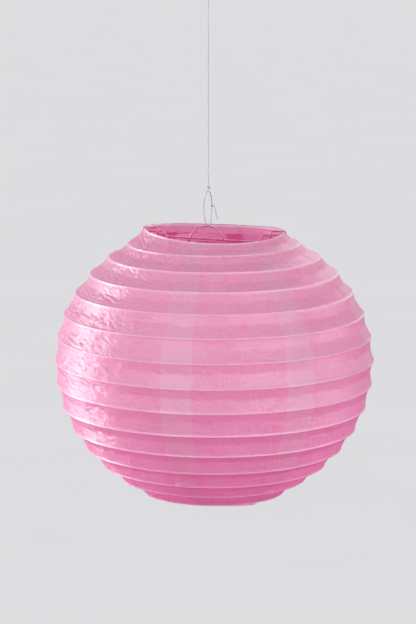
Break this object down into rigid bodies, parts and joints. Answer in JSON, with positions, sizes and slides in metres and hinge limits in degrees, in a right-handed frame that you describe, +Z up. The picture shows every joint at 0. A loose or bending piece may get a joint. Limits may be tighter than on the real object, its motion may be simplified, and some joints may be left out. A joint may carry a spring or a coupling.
{
  "type": "paper lantern",
  "caption": "Round pink tissue-paper lantern with wire ribs and a sprung wire expander, hanging on a clear nylon line; the shell folds flat.",
  "frame": {"origin": "inside top of the upper loop of the nylon line, where it hangs on a ceiling hook", "axes": "+Z up along the taut line; +X to the right along the expander's crossbar; -Y towards the front of the lantern"},
  "size_m": [0.351, 0.351, 0.5789],
  "materials": {
    "pink_tissue_paper": "thin crinkled tissue paper, slightly glossy, lets light through",
    "shell_wire": "drawn wire, satin",
    "expander_wire": "galvanised spring wire, satin",
    "clear_nylon": "clear monofilament, glossy"
  },
  "bodies": {
    "ceiling_loop": {"top_loop": "clear_nylon"},
    "top_knot": {"top_knot": "clear_nylon"},
    "hanging_line": {"hanging_line": "clear_nylon"},
    "lower_loop": {"lower_knot": "clear_nylon", "lower_loop": "clear_nylon", "tie_knot": "clear_nylon", "cut_tail": "clear_nylon"},
    "lantern_top": {"expander_arch": "expander_wire", "expander_crossbar": "expander_wire", "top_rim_wire": "shell_wire", "paper_gore_1": "pink_tissue_paper", "paper_gore_2": "pink_tissue_paper", "paper_gore_3": "pink_tissue_paper", "paper_gore_4": "pink_tissue_paper", "paper_gore_5": "pink_tissue_paper", "paper_gore_6": "pink_tissue_paper", "paper_gore_7": "pink_tissue_paper", "paper_gore_8": "pink_tissue_paper"},
    "leg_left": {"expander_leg_left": "expander_wire"},
    "leg_right": {"expander_leg_right": "expander_wire"},
    "rib_01": {"rib_ring_01": "shell_wire"},
    "rib_02": {"rib_ring_02": "shell_wire"},
    "rib_03": {"rib_ring_03": "shell_wire"},
    "rib_04": {"rib_ring_04": "shell_wire"},
    "rib_05": {"rib_ring_05": "shell_wire"},
    "rib_06": {"rib_ring_06": "shell_wire"},
    "rib_07": {"rib_ring_07": "shell_wire"},
    "rib_08": {"rib_ring_08": "shell_wire"},
    "rib_09": {"rib_ring_09": "shell_wire"},
    "rib_10": {"rib_ring_10": "shell_wire"},
    "rib_11": {"rib_ring_11": "shell_wire"},
    "rib_12": {"rib_ring_12": "shell_wire"},
    "rib_13": {"rib_ring_13": "shell_wire"},
    "bottom_rim": {"bottom_rim_wire": "shell_wire"}
  },
  "joints": [
    {"name": "swing_sideways", "type": "hinge", "parent": "ceiling_loop", "child": "top_knot", "pos_m": [0, 0, -0.03], "axis": [0, 1, 0], "range_deg": [-35, 35]},
    {"name": "swing_fore_aft", "type": "hinge", "parent": "top_knot", "child": "hanging_line", "pos_m": [0, 0, -0.03], "axis": [1, 0, 0], "range_deg": [-35, 35]},
    {"name": "line_twist", "type": "hinge", "parent": "hanging_line", "child": "lower_loop", "pos_m": [0, 0, -0.2383], "axis": [0, 0, 1], "continuous": true},
    {"name": "lantern_tilt", "type": "hinge", "parent": "lower_loop", "child": "lantern_top", "pos_m": [0.0003, 0, -0.2811], "axis": [1, 0, 0], "range_deg": [-30, 30]},
    {"name": "shell_collapse", "type": "slide", "parent": "lantern_top", "child": "bottom_rim", "axis": [0, 0, 1], "range_m": [0, 0.2626], "deforming": ["paper_gore_1", "paper_gore_2", "paper_gore_3", "paper_gore_4", "paper_gore_5", "paper_gore_6", "paper_gore_7", "paper_gore_8"]},
    {"name": "rib_lift_01", "type": "slide", "parent": "lantern_top", "child": "rib_01", "axis": [0, 0, 1], "range_m": [0, 0.0112]},
    {"name": "rib_lift_02", "type": "slide", "parent": "lantern_top", "child": "rib_02", "axis": [0, 0, 1], "range_m": [0, 0.0246]},
    {"name": "rib_lift_03", "type": "slide", "parent": "lantern_top", "child": "rib_03", "axis": [0, 0, 1], "range_m": [0, 0.0409]},
    {"name": "rib_lift_04", "type": "slide", "parent": "lantern_top", "child": "rib_04", "axis": [0, 0, 1], "range_m": [0, 0.0599]},
    {"name": "rib_lift_05", "type": "slide", "parent": "lantern_top", "child": "rib_05", "axis": [0, 0, 1], "range_m": [0, 0.0811]},
    {"name": "rib_lift_06", "type": "slide", "parent": "lantern_top", "child": "rib_06", "axis": [0, 0, 1], "range_m": [0, 0.1041]},
    {"name": "rib_lift_07", "type": "slide", "parent": "lantern_top", "child": "rib_07", "axis": [0, 0, 1], "range_m": [0, 0.1281]},
    {"name": "rib_lift_08", "type": "slide", "parent": "lantern_top", "child": "rib_08", "axis": [0, 0, 1], "range_m": [0, 0.1521]},
    {"name": "rib_lift_09", "type": "slide", "parent": "lantern_top", "child": "rib_09", "axis": [0, 0, 1], "range_m": [0, 0.1755]},
    {"name": "rib_lift_10", "type": "slide", "parent": "lantern_top", "child": "rib_10", "axis": [0, 0, 1], "range_m": [0, 0.1973]},
    {"name": "rib_lift_11", "type": "slide", "parent": "lantern_top", "child": "rib_11", "axis": [0, 0, 1], "range_m": [0, 0.2172]},
    {"name": "rib_lift_12", "type": "slide", "parent": "lantern_top", "child": "rib_12", "axis": [0, 0, 1], "range_m": [0, 0.2347]},
    {"name": "rib_lift_13", "type": "slide", "parent": "lantern_top", "child": "rib_13", "axis": [0, 0, 1], "range_m": [0, 0.2493]},
    {"name": "leg_squeeze_left", "type": "hinge", "parent": "lantern_top", "child": "leg_left", "pos_m": [-0.0551, -0.0003, -0.2922], "axis": [0, -1, 0], "range_deg": [0, 5], "stiffness_Nm_per_rad": 1.2, "springref_deg": -1.15},
    {"name": "leg_squeeze_right", "type": "hinge", "parent": "lantern_top", "child": "leg_right", "pos_m": [0.0679, -0.0003, -0.2966], "axis": [0, 1, 0], "range_deg": [0, 5], "stiffness_Nm_per_rad": 1.2, "springref_deg": -1.15}
  ],
  "couplings": [
    {"joint": "rib_lift_01", "follows": "shell_collapse", "ratio": 0.0423},
    {"joint": "rib_lift_02", "follows": "shell_collapse", "ratio": 0.0932},
    {"joint": "rib_lift_03", "follows": "shell_collapse", "ratio": 0.1553},
    {"joint": "rib_lift_04", "follows": "shell_collapse", "ratio": 0.2276},
    {"joint": "rib_lift_05", "follows": "shell_collapse", "ratio": 0.3086},
    {"joint": "rib_lift_06", "follows": "shell_collapse", "ratio": 0.3961},
    {"joint": "rib_lift_07", "follows": "shell_collapse", "ratio": 0.4874},
    {"joint": "rib_lift_08", "follows": "shell_collapse", "ratio": 0.5788},
    {"joint": "rib_lift_09", "follows": "shell_collapse", "ratio": 0.6678},
    {"joint": "rib_lift_10", "follows": "shell_collapse", "ratio": 0.751},
    {"joint": "rib_lift_11", "follows": "shell_collapse", "ratio": 0.8268},
    {"joint": "rib_lift_12", "follows": "shell_collapse", "ratio": 0.8932},
    {"joint": "rib_lift_13", "follows": "shell_collapse", "ratio": 0.949},
    {"joint": "leg_squeeze_right", "follows": "leg_squeeze_left", "ratio": 1}
  ]
}
